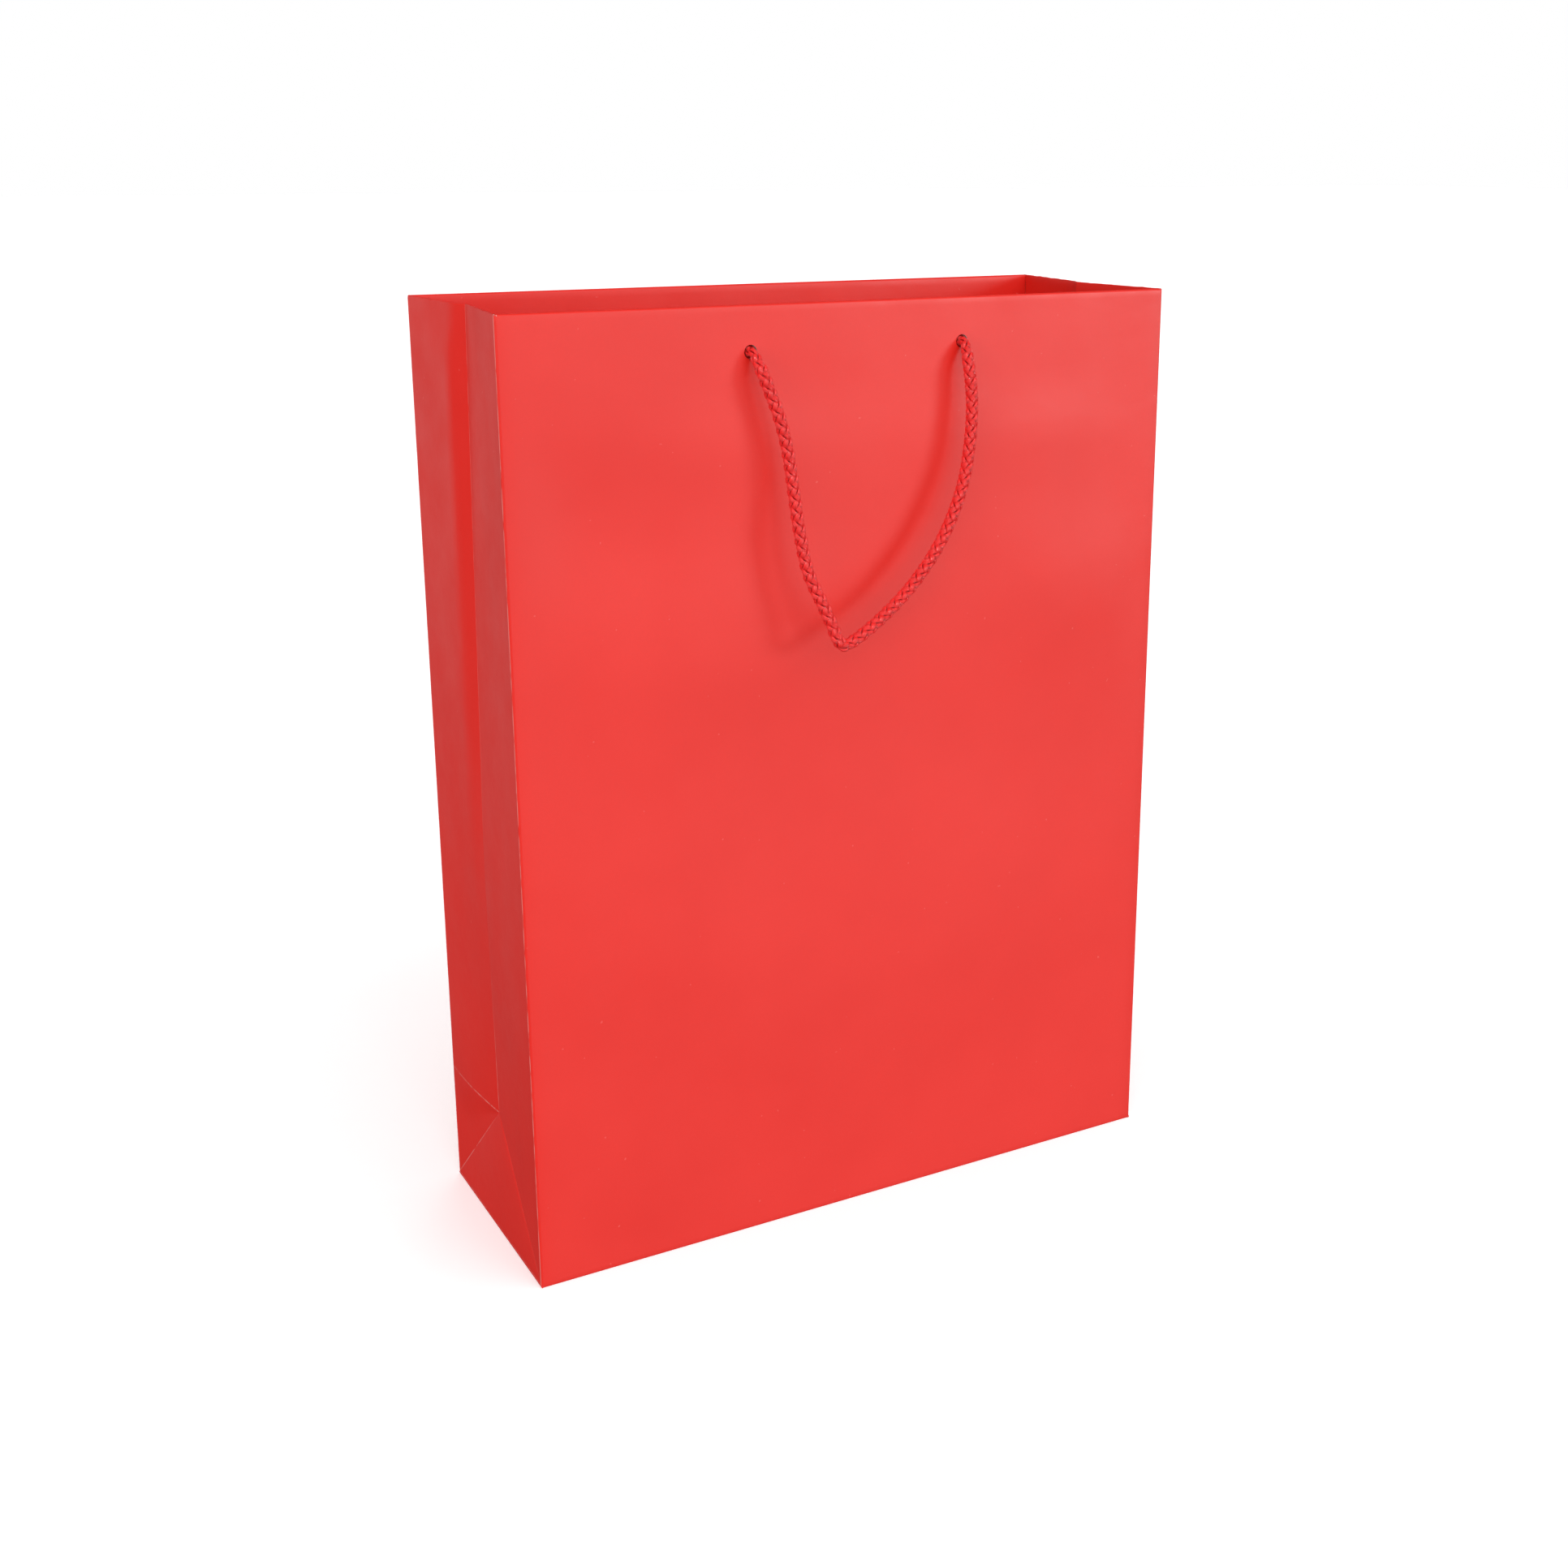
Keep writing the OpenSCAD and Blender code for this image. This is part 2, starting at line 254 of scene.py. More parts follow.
def pale_floor():
    """A near white floor that glows a little, so that it meets the backdrop without an edge."""
    glow = {"Emission Color": (1, 1, 1, 1), "Emission Strength": 0.32}
    n = Nodes("pale_floor", (0.94, 0.94, 0.94), 0.7, **{"Specular IOR Level": 0.2}, **glow)
    cloud = n.spread(n.noise(0.4), 0.3, 0.7)
    n.set(n.shader, **{"Base Color": n.mix(cloud, (0.93, 0.93, 0.93), (0.95, 0.95, 0.95))})
    return n.material


# ---- Meshes ----


def smooth_step(value, low, high):
    t = np.clip((value - low) / (high - low), 0, 1)
    return t * t * (3 - 2 * t)


def unit(v):
    return v / np.linalg.norm(v, axis=-1, keepdims=True)


def remember_rest(obj):
    """Keeps each vertex's place at rest, so that a material doesn't slide over the piece as it bends."""
    mesh = obj.data
    place = np.zeros(len(mesh.vertices) * 3, np.float32)
    mesh.vertices.foreach_get("co", place)
    layer = mesh.attributes.get("rest_place") or mesh.attributes.new("rest_place", "FLOAT_VECTOR", "POINT")
    layer.data.foreach_set("vector", place)


def add_object(name, points, faces, materials, **layers):
    """A mesh object, with one float layer a keyword, and with doubled points merged."""
    mesh = bpy.data.meshes.new(name)
    mesh.from_pydata([tuple(p) for p in points], [], faces)
    for layer, values in layers.items():
        flat = np.asarray(values, np.float32).ravel()
        mesh.attributes.new(layer, "FLOAT", "POINT").data.foreach_set("value", flat)
    for material in materials:
        mesh.materials.append(material)
    work = bmesh.new()
    work.from_mesh(mesh)
    bmesh.ops.remove_doubles(work, verts=work.verts, dist=1e-6)
    work.to_mesh(mesh)
    work.free()
    obj = bpy.data.objects.new(name, mesh)
    bpy.context.scene.collection.objects.link(obj)
    return obj


def apply_modifiers(obj):
    bpy.context.view_layer.update()
    done = bpy.data.meshes.new_from_object(obj.evaluated_get(bpy.context.evaluated_depsgraph_get()))
    obj.modifiers.clear()
    obj.data = done


def finish_mesh(obj, sharp_deg=50):
    """Smooth shading but for sharp edges, and the rest places that the materials read."""
    obj.data.shade_smooth()
    obj.data.set_sharp_from_angle(angle=math.radians(sharp_deg))
    remember_rest(obj)
    return obj


def paper_piece(name, grid, wear, materials, keep=None, holes=(), cut_edge=False):
    """A folded sheet of paper. grid holds the red face's points, row by row, and the sheet thickens away
    from it. wear is 1 where a crease is rubbed pale. keep is False for grid faces that are cut away. The
    edges are red, as most of them lie on creases, unless cut_edge shows the sheet's white core."""
    rows, cols = grid.shape[:2]
    faces = [
        (r * cols + c, r * cols + c + 1, (r + 1) * cols + c + 1, (r + 1) * cols + c)
        for r in range(rows - 1) for c in range(cols - 1) if keep is None or keep[r, c]
    ]
    obj = add_object(name, grid.reshape(-1, 3), faces, materials, wear=wear)
    thick = obj.modifiers.new("thickness", "SOLIDIFY")
    thick.thickness = PAPER_T
    thick.offset = -1
    thick.use_even_offset = True
    thick.material_offset = 1
    thick.material_offset_rim = int(cut_edge)
    apply_modifiers(obj)
    for hole in holes:
        punch_hole(obj, *hole)
    return finish_mesh(obj)


# Length of the bar that punches a hole: more than the thickness at the rim
PUNCH_L = 12 * MM


def punch_hole(obj, centre, direction):
    """Cuts a round hole through every layer of a sheet, with the sheet's white core on its wall."""
    turn = Vector(direction).to_track_quat("Z", "Y").to_matrix().to_4x4()
    place = Matrix.Translation(centre) @ turn
    round_bar = {"radius1": HOLE_R, "radius2": HOLE_R, "depth": PUNCH_L, "segments": 40}
    work = bmesh.new()
    bmesh.ops.create_cone(work, cap_ends=True, matrix=place, **round_bar)
    mesh = bpy.data.meshes.new("punch")
    work.to_mesh(mesh)
    work.free()
    for material in obj.data.materials:
        mesh.materials.append(material)
    for face in mesh.polygons:
        face.material_index = 1
    punch = bpy.data.objects.new("punch", mesh)
    bpy.context.scene.collection.objects.link(punch)
    cut = obj.modifiers.new("hole", "BOOLEAN")
    cut.operation = "DIFFERENCE"
    cut.solver = "EXACT"
    cut.object = punch
    apply_modifiers(obj)
    bpy.data.objects.remove(punch)


# ---- Cords ----

CORD_D = 4 * MM
# Distance between the points of a handle's smooth path
HANDLE_STEP = 0.7 * MM
# Where a handle comes out: how far off the wall and how far it has dropped by then
EXIT_OFF, EXIT_DROP = 0.9 * MM, 0.2 * MM
# Length of one full turn of a strand, and the number of strands that turn each way
BRAID_PITCH = 16.4 * MM
PLAITS = 4
# Width and thickness of a strand, and how far it moves in and out as it is woven
STRAND_W = 1.75 * MM
STRAND_T = 1.15 * MM
WEAVE = 0.45 * MM
# How quickly a strand passes from over to under its neighbours
WEAVE_SNAP = 1.6
# How far the strands' crowns stand out from the cord's nominal radius
CROWN = 0.25 * MM
# How thin the hole squeezes the cord, and over what length it swells again
PINCH = 0.74
PINCH_L = 9 * MM
STRAND_SIDES = 10
CORE_SIDES = 12
# Points worked out between two given ones before a path is evenly divided
SPLINE_STEPS = 24
# A knot's braid, the trefoil that it follows, how far behind the wall it lies, and its tail: how far aside
# and below the knot the tail's points are
KNOT_CORD_D = 3.4 * MM
KNOT_STEP = 0.6 * MM
KNOT_R, KNOT_DEPTH = 1.5 * MM, 1.9 * MM
KNOT_POINTS = 19
KNOT_BEHIND = 4.6 * MM
KNOT_TAIL = [(1.0 * MM, 3.5 * MM), (1.2 * MM, 8 * MM), (0.4 * MM, 14 * MM)]

# The handle's route from one hole down and up to the other. Its two end points stand in for the ends that
# handle_points works out from the frame.
HANDLE_ROUTE = [
    (-0.04, -0.0485, 0.315),
    (-0.0384, -0.0502, 0.308),
    (-0.0364, -0.0512, 0.302),
    (-0.0343, -0.052, 0.296),
    (-0.0317, -0.053, 0.285),
    (-0.0298, -0.054, 0.27),
    (-0.0284, -0.0555, 0.256),
    (-0.0261, -0.057, 0.243),
    (-0.0217, -0.059, 0.232),
    (-0.0189, -0.06, 0.225),
    (-0.0174, -0.061, 0.2205),
    (-0.0152, -0.061, 0.2183),
    (-0.0116, -0.0605, 0.219),
    (-0.0056, -0.06, 0.222),
    (0.0038, -0.0585, 0.2276),
    (0.0129, -0.057, 0.2343),
    (0.0221, -0.056, 0.244),
    (0.0291, -0.055, 0.254),
    (0.0354, -0.054, 0.268),
    (0.0385, -0.053, 0.282),
    (0.0397, -0.052, 0.295),
    (0.0392, -0.0502, 0.308),
    (0.04, -0.0485, 0.315),
]


def run_along(path):
    """Length of the path up to each of its points."""
    return np.concatenate([[0], np.cumsum(np.linalg.norm(np.diff(path, axis=0), axis=1))])


def between(start, end, t, first, last):
    """The point between two others, where t lies between start and end."""
    return (end - t) / (end - start) * first + (t - start) / (end - start) * last


def smooth_path(points, step):
    """Points at an even step along the smooth curve (centripetal Catmull-Rom) through the given ones."""
    p = np.array(points, float)
    p = np.vstack([2 * p[0] - p[1], p, 2 * p[-1] - p[-2]])
    knots = np.concatenate([[0], np.cumsum(np.sqrt(np.linalg.norm(np.diff(p, axis=0), axis=1)))])
    fine = []
    for i in range(1, len(p) - 2):
        t = np.linspace(knots[i], knots[i + 1], SPLINE_STEPS, endpoint=False)[:, None]
        k = knots[i - 1:i + 3]
        a = [between(k[j], k[j + 1], t, p[i - 1 + j], p[i + j]) for j in range(3)]
        b = [between(k[j], k[j + 2], t, a[j], a[j + 1]) for j in range(2)]
        fine.append(between(k[1], k[2], t, b[0], b[1]))
    fine = np.vstack([*fine, p[-2]])
    run = run_along(fine)
    even = np.linspace(0, run[-1], max(2, round(run[-1] / step) + 1))
    return np.stack([np.interp(even, run, fine[:, k]) for k in range(3)], 1)


def path_frames(path):
    """Two directions across the path at each point, carried along it without twist."""
    tangent = unit(np.gradient(path, axis=0))
    # The first direction only has to lie across the path
    side = np.cross(tangent[0], (0.3, 0.9, 0.2))
    sides = []
    for t in tangent:
        side = unit(side - t * (side @ t))
        sides.append(side)
    sides = np.array(sides)
    return sides, np.cross(tangent, sides)


def sweep(centres, wide, thick, half_w, half_t, sides):
    """Points and faces of a closed tube of oval section, with half its width and thickness at each centre."""
    angles = np.arange(sides) * 2 * math.pi / sides
    points = (centres[:, None] + np.cos(angles)[None, :, None] * (wide * half_w[:, None])[:, None]
              + np.sin(angles)[None, :, None] * (thick * half_t[:, None])[:, None])
    count = len(centres)
    faces = [
        (i * sides + k, i * sides + (k + 1) % sides, (i + 1) * sides + (k + 1) % sides, (i + 1) * sides + k)
        for i in range(count - 1) for k in range(sides)
    ]
    faces.append(tuple(range(sides - 1, -1, -1)))
    faces.append(tuple(range((count - 1) * sides, count * sides)))
    return points.reshape(-1, 3), faces, np.tile(np.cos(angles), count)


def braid(name, path, diameter, material, pinch=1.0):
    """A round braid of eight flat strands, four each way, that pass over and under each other, round a core.
    pinch is how thin its ends are squeezed."""
    run = run_along(path)
    from_end = np.minimum(run, run[-1] - run)
    scale = diameter / CORD_D * (pinch + (1 - pinch) * smooth_step(from_end, 1 * MM, PINCH_L))
    pitch = BRAID_PITCH * diameter / CORD_D
    middle = scale * (CORD_D / 2 + CROWN - STRAND_T / 2 - WEAVE)
    along, up = path_frames(path)
    points, faces, across, painted_shade = [], [], [], []

    # depth is each point's painted shade, from 0 for none to 1 for fully dark
    def add(part, depth):
        part_points, part_faces, part_across = part
        start = sum(len(p) for p in points)
        points.append(part_points)
        faces.extend(tuple(start + i for i in face) for face in part_faces)
        across.append(part_across)
        painted_shade.append(depth)

    for way in (1, -1):
        for k in range(PLAITS):
            angle = way * 2 * math.pi * run / pitch + k * 2 * math.pi / PLAITS
            wave = way * np.cos(2 * math.pi * PLAITS * run / pitch)
            over = np.tanh(WEAVE_SNAP * wave) / math.tanh(WEAVE_SNAP)
            out = np.cos(angle)[:, None] * along + np.sin(angle)[:, None] * up
            centres = path + out * (middle + scale * WEAVE * over)[:, None]
            run_dir = unit(np.gradient(centres, axis=0))
            wide = unit(np.cross(run_dir, out))
            thick = np.cross(wide, run_dir)
            half_w, half_t = scale * STRAND_W / 2, scale * STRAND_T / 2
            strand = sweep(centres, wide, thick, half_w, half_t, STRAND_SIDES)
            # Painted shade on a strand where it passes under the strands that cross it
            add(strand, np.repeat(0.9 * smooth_step(-over, -0.4, 0.7), STRAND_SIDES))
    # The core, painted fully in shade, shows only in the gaps between the strands
    core = middle - scale * WEAVE
    add(sweep(path, along, up, core, core, CORE_SIDES), np.ones(len(path) * CORE_SIDES))
    layers = {"across": np.concatenate(across), "painted_shade": np.concatenate(painted_shade)}
    return finish_mesh(add_object(name, np.vstack(points), faces, [material], **layers), 60)


def handle_points(turned):
    """Route of a handle from inside one hole to inside the other; the back one is turned half round."""
    left, right = (
        [(x, -HALF_D + WALL_T / 2, HOLE_Z), (x, -HALF_D - EXIT_OFF, HOLE_Z - EXIT_DROP)]
        for x in (-HOLE_X, HOLE_X)
    )
    route = [*left, *HANDLE_ROUTE[1:-1], *reversed(right)]
    return [(-x, -y, z) for x, y, z in route] if turned else route


def add_handle(name, turned, material):
    """A braided cord from one hole down and up to the other, in place of the CAD handle."""
    path = smooth_path(handle_points(turned), HANDLE_STEP)
    cord = braid(f"{name}_cord", path, CORD_D, material, PINCH)
    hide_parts(name)
    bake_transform(cord)


def knot_path(centre, way):
    """An overhand knot drawn up behind the hem, its short tail hanging down. way is the wall's outward y."""
    centre = np.array(centre)
    right, up, inward = np.array([-way, 0, 0]), np.array([0, 0, 1]), np.array([0, -way, 0])
    middle = centre + inward * (WALL_T / 2 + KNOT_BEHIND)
    turns = []
    for t in np.linspace(math.pi / 3, 2 * math.pi, KNOT_POINTS):
        reach = (2 + math.cos(3 * t)) * KNOT_R
        across = reach * (right * math.cos(2 * t) + up * math.sin(2 * t))
        turns.append(middle + across + inward * KNOT_DEPTH * math.sin(3 * t))
    tail = [turns[-1] + right * aside - up * drop for aside, drop in KNOT_TAIL]
    return [tuple(p) for p in (centre, centre + inward * 1.6 * MM, *turns, *tail)]


def add_knots(material):
    """The two knots behind each wall."""
    for wall, way in (("front", -1), ("back", 1)):
        for side, x in (("left", -HOLE_X), ("right", HOLE_X)):
            centre = (x, way * (HALF_D - WALL_T / 2), HOLE_Z)
            path = smooth_path(knot_path(centre, way), KNOT_STEP)
            knot = braid(f"{wall}_{side}_overhand_knot", path, KNOT_CORD_D, material)
            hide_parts(f"{wall}_{side}_knot")
            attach(knot, f"{wall}_wall")


# ---- Walls ----

# Rows of points over the roll of the rim and down the hem behind it, and the rows that the hem's sides
# are cut back from: the hem and the last half of the roll
ROLL_ROWS = 9
HEM_ROWS = 9
CUT_BACK_ROWS = HEM_ROWS + 4
# Rows up a wall: close ones above the crease, and then evenly spaced ones up to the rim's roll
LOW_ROWS = [1.5 * MM, 4 * MM, 8 * MM]
WALL_ROWS = 56
# Distance between a wall's columns
WALL_COLUMN = 5 * MM
# How deep the hem lies where it turns the corner
CORNER_HEM = 0.55 * MM
# Angles in degrees of the points round the curl under the foot of a wall or a gusset
FOOT_TURNS = [80, 60, 40, 20]


def foot_curl(foot_r, angles):
    """Rows that curl under the foot of a panel: (height, depth)."""
    return [(-foot_r * math.sin(a), foot_r - foot_r * math.cos(a)) for a in np.radians(angles)]


def hem_rows(side_l, thickness, foot, heights):
    """Rows of a panel from its foot, up the outside, over the rim and down the hem: (height, depth)."""
    r = thickness / 2
    turns = np.radians(np.linspace(0, 180, ROLL_ROWS))
    roll = [(side_l - r + r * math.sin(a), r - r * math.cos(a)) for a in turns]
    hem = [(s, thickness) for s in np.linspace(side_l - r - 2 * MM, side_l - HEM_DEPTH, HEM_ROWS)]
    outside = [(s, 0.0) for s in heights if s < side_l - r - 0.3 * MM]
    return np.array([*foot, *outside, *roll, *hem])


def kept_faces(rows, clear):
    """The faces of a grid that stay: all of them, but on the hem only those between clear columns."""
    keep = np.ones((rows - 1, len(clear) - 1), bool)
    keep[rows - CUT_BACK_ROWS:] = (clear[:-1] & clear[1:])[None, :]
    return keep


def corner_columns(half, radius, spacing):
    """Columns across a wall: (x, depth of the rounded corner, its turn in radians), both corners included."""
    count = round(2 * (half - radius) / spacing)
    flat = [(x, 0.0, 0.0) for x in np.linspace(radius - half, half - radius, count + 1)]
    turns = np.radians([18, 36, 54, 72, 90])
    bend = [(half - radius + radius * math.sin(a), radius - radius * math.cos(a), a) for a in turns]
    left = [(-x, d, -a) for x, d, a in reversed(bend)]
    return np.array([*left, *flat, *bend])


# Soft hollows and swells of the walls: x, height, reach along x, reach up, how far it stands out
FRONT_SWELLS = [
    (-0.100, 0.265, 0.030, 0.030, -0.0014),
    (-0.050, 0.290, 0.050, 0.022, 0.0008),
    (0.060, 0.285, 0.060, 0.020, 0.0006),
    (-0.060, 0.215, 0.045, 0.030, 0.0013),
    (0.085, 0.225, 0.045, 0.030, 0.0012),
    (0.010, 0.175, 0.070, 0.040, -0.0010),
    (-0.080, 0.120, 0.050, 0.035, 0.0007),
    (0.000, 0.080, 0.080, 0.050, 0.0008),
]
BACK_SWELLS = [
    (0.080, 0.255, 0.040, 0.030, -0.0012),
    (-0.060, 0.230, 0.055, 0.030, 0.0012),
    (0.020, 0.160, 0.060, 0.040, 0.0010),
    (0.070, 0.090, 0.050, 0.040, -0.0008),
]
# Where the noise of each wall's ripples starts
FRONT_SEED, BACK_SEED = 1.0, 3.0
# Height of the walls' wide and fine ripples, and of those over the rim card
WIDE_RIPPLE, FINE_RIPPLE, CARD_RIPPLE = 0.45 * MM, 0.12 * MM, 0.16 * MM


def wall_swell(x, s, side_l, swells, seed):
    """How far the wall stands out of its plane: nothing along its creases, and little over the rim card."""
    free = smooth_step(HALF_W - np.abs(x), 0, 0.022) * smooth_step(s, 0, 0.03)
    below_card = smooth_step(side_l - s, 0.026, 0.050)
    out = sum(h * math.exp(-((x - cx) / rx) ** 2 - ((s - cs) / rs) ** 2) for cx, cs, rx, rs, h in swells)
    wide = WIDE_RIPPLE * noise.noise(Vector((x * 22, s * 16, seed)))
    fine = FINE_RIPPLE * noise.noise(Vector((x * 70, s * 50, seed + 5)))
    card = CARD_RIPPLE * noise.noise(Vector((x * 30, s * 12, seed + 9)))
    return float(free * (below_card * (out + wide + fine) + (1 - below_card) * card))


def wall_frame(wall):
    """Outward direction, and the direction up the wall, of the front or back wall at rest."""
    corner = Vector(JOINTS[f"left_{wall}_edge_turn"]["axis"])
    up = -corner if corner.z < 0 else corner
    way = -1 if wall == "front" else 1
    out = Vector((0, way * up.z, -way * up.y))
    return np.array(out), np.array(up)


def add_wall(wall, swells, seed, papers):
    """The front or back wall with its hem, in one sheet that turns over the rim."""
    out, up = wall_frame(wall)
    way = math.copysign(1, out[1])
    side_l = (RIM_Z - HINGE_Z) / up[2]
    heights = [*LOW_ROWS, *np.linspace(13 * MM, side_l - 2.5 * MM, WALL_ROWS)]
    rows = hem_rows(side_l, WALL_T, foot_curl(HINGE_Z, [*FOOT_TURNS, 0]), heights)
    cols = corner_columns(HALF_W, CORNER_R, WALL_COLUMN)
    if way > 0:
        cols = cols[::-1]
    origin = np.array([0, way * HALF_D, HINGE_Z])
    along = np.array([1.0, 0, 0])
    grid = np.zeros((len(rows), len(cols), 3))
    wear = np.zeros(grid.shape[:2])
    for i, (s, depth) in enumerate(rows):
        for j, (x, bend, angle) in enumerate(cols):
            facing = out * math.cos(angle) + along * math.sin(angle)
            inset = depth if angle == 0 else min(depth, CORNER_HEM)
            swell = wall_swell(x, s, side_l, swells, seed)
            grid[i, j] = origin + along * x + up * s - out * bend - facing * inset + out * swell
            wear[i, j] = smooth_step(abs(math.degrees(angle)), 60, 90) * (depth < PAPER_T)
    keep = kept_faces(len(rows), np.abs(cols[:, 0]) < HALF_W - CORNER_R + 0.01 * MM)
    holes = [((x, way * HALF_D, HOLE_Z), tuple(out)) for x in (-HOLE_X, HOLE_X)]
    piece = paper_piece(f"{wall}_wall_sheet", grid, wear, papers, keep, holes)
    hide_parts(f"{wall}_panel", f"{wall}_hem")
    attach(piece, f"{wall}_wall")


def add_seam_flap(papers):
    """The strip that joins the ends of the sheet, glued inside the back wall."""
    low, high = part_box("side_seam_flap")
    out, up = wall_frame("back")
    side_l = (RIM_Z - HINGE_Z) / up[2]
    xs = np.linspace(high.x, low.x, 5)
    heights = np.linspace(low.z - HINGE_Z, high.z - HINGE_Z, 50)
    origin = np.array([0, HALF_D, HINGE_Z])
    grid = np.zeros((len(heights), len(xs), 3))
    for i, s in enumerate(heights):
        for j, x in enumerate(xs):
            swell = wall_swell(x, s, side_l, BACK_SWELLS, BACK_SEED)
            grid[i, j] = origin + np.array([x, 0, 0]) + up * s + out * (swell - PAPER_T - SEAM_GAP)
    piece = paper_piece("glued_seam_flap", grid, np.zeros(grid.shape[:2]), papers, cut_edge=True)
    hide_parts("side_seam_flap")
    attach(piece, "back_wall")


# ---- Gussets ----

# Height in metres on the middle crease, and how far inside the side plane it stands there, in mm
MIDDLE_CREASE = [
    (0.000, 2.66), (0.0455, 2.66), (0.075, 2.5), (0.105, 2.2), (0.134, 2.0), (0.150, 2.1),
    (0.175, 2.7), (0.221, 3.6), (0.259, 4.3), (0.300, 5.1), (0.330, 5.7), (0.400, 5.9),
]
# How far the middle crease's shape climbs on its way to the corner crease
REAR_LIFT, FRONT_LIFT = 18 * MM, -34 * MM
# Heights over which the rear halves' second, soft bend sets in, and over which it changes at the rim
BEND_IN = (0.11, 0.20)
BEND_RIM = (0.310, 0.328)
# How far the rear halves stand out along the flat crease at the height of the apex
RIDGE = 1.0 * MM
# Height of the halves' ripples, of the waves along their rims, and of the foot's swell
RIPPLE, RIM_WAVE, FOOT_SWELL = 0.25 * MM, 0.35 * MM, 2.6 * MM
# How close to a crease the paper is worn
CREASE_REACH = 0.1 * MM
# Reach of a bend to each side of the slanting crease; add_gusset_half works out the bend but doesn't apply it
BEND_REACH = 2.5 * MM
# Rows of a half below and above the height of its apex, and inner columns and rows of a foot
FAN_ROWS, UPPER_ROWS = 13, 66
FOOT_COLUMNS, FOOT_ROWS = 24, 16


def crease_inset(z):
    """How far inside the side plane the middle crease stands at a height."""
    heights, insets = zip(*MIDDLE_CREASE)
    return np.interp(z, heights, insets) * MM


def soft_crease_inset(z):
    """The middle crease's inset, eased over 16 mm so that the paper bends and doesn't kink."""
    return np.mean([crease_inset(z + d) for d in np.linspace(-8 * MM, 8 * MM, 9)])


def middle_top(corner, apex):
    """Top of the middle crease: half the bag's depth from the corner's top, and on the middle plane."""
    reach = math.sqrt(HALF_D ** 2 - corner.y ** 2)
    middle_l = (RIM_Z - HINGE_Z) - HALF_D
    to_corner = Vector((corner.x - apex.x, 0, corner.z - apex.z))
    span = to_corner.length
    along = (middle_l ** 2 - reach ** 2 + span ** 2) / (2 * span)
    aside = math.sqrt(middle_l ** 2 - along ** 2)
    forward = to_corner / span
    sideways = Vector((forward.z, 0, -forward.x)) * -math.copysign(1, corner.x)
    return apex + forward * along + sideways * aside


def bent_share(share, start, end):
    """A share that stays nought up to a soft bend between two places, and then runs straight up to one."""
    t = min(max((share - start) / (end - start), 0.0), 1.0)
    bend = (end - start) * (t ** 3 - t ** 4 / 2)
    straight = max(share - end, 0.0)
    return (bend + straight) / (1 - (start + end) / 2)


class Quarter:
    """One half of a gusset: its corner crease, its apex and its middle crease, from the frame's joints."""

    def __init__(self, side, end):
        self.name = f"{side}_{end}"
        self.foot = Vector(JOINTS[f"{self.name}_edge_turn"]["pos_m"])
        axis = Vector(JOINTS[f"{self.name}_edge_turn"]["axis"])
        self.up = -axis if axis.z < 0 else axis
        self.side_l = (RIM_Z - HINGE_Z) / self.up.z
        self.apex = Vector(JOINTS[f"{self.name}_fold_turn"]["pos_m"])
        self.top = self.foot + self.up * self.side_l
        self.middle_top = middle_top(self.top, self.apex)
        self.outward = math.copysign(1, self.foot.x)
        self.rear = end == "back"

    def row(self, s):
        """The two ends of the row that starts at height s on the corner crease."""
        share = max(0.0, (s - HALF_D) / (self.side_l - HALF_D))
        return self.foot + self.up * s, self.apex.lerp(self.middle_top, share)

    def swell(self, share, s, point):
        """How far the paper stands outwards of the straight row, in the real bag's soft buckles."""
        plain = abs(HALF_W - abs(point.x))
        lift = REAR_LIFT if self.rear else FRONT_LIFT
        inset = soft_crease_inset(point.z - lift * (1 - share))
        profile, ridge = share, 0.0
        if self.rear:
            rim = float(smooth_step(point.z, *BEND_RIM))
            bent = (0.65 - 0.30 * rim) * float(smooth_step(point.z, *BEND_IN))
            profile = (1 - bent) * share + bent * bent_share(share, 0.72 + 0.06 * rim, 0.88 + 0.04 * rim)
            above = 1 - smooth_step(s, HALF_D, HALF_D + 50 * MM)
            below = smooth_step(s, HALF_D - 24 * MM, HALF_D)
            ridge = RIDGE * float(min(above, below))
        ripple = RIPPLE * noise.noise(Vector((share * 2.2, point.z * 18, self.outward * 3 + self.rear)))
        free = 4 * share * (1 - share)
        return float(smooth_step(s, 0, 0.03)) * (plain - inset * profile + (ripple + ridge) * free)

    def wear(self, u, s):
        """How worn the paper is at a distance from the corner crease and a height: nought off the creases."""
        share = u / HALF_D
        corner = float(abs(u - CORNER_R) < CREASE_REACH)
        foot = (0.4 + 0.6 * share if self.rear else 0.15) * float(s < CREASE_REACH)
        flat = (0.3 + 0.7 * share ** 2) * float(abs(s - HALF_D) < CREASE_REACH) * self.rear
        middle = 0.7 * float(u > HALF_D - CREASE_REACH)
        return max(corner, foot, flat, middle)

    def rim_wave(self, u, s):
        """How far the rim's fold waves up and down."""
        share = u / HALF_D
        wave = RIM_WAVE * noise.noise(Vector((u * 260, self.outward, self.rear)))
        return wave * float(s > self.side_l - 3 * MM) * 4 * share * (1 - share)


def gusset_columns():
    """Columns from the corner crease to the middle: (distance, depth of the rounded corner)."""
    turns = np.radians([45, 30, 15, 0])
    bend = [(CORNER_R * (1 - math.sin(a)), CORNER_R * (1 - math.cos(a)) + SHEET_GAP) for a in turns]
    inner = [(u, 0.0) for u in (CORNER_R + 0.25 * MM, 2 * MM, *np.linspace(4.5 * MM, HALF_D - 2 * MM, 15))]
    return [*bend, *inner, (HALF_D - 0.3 * MM, 0.0), (HALF_D, 0.0)]


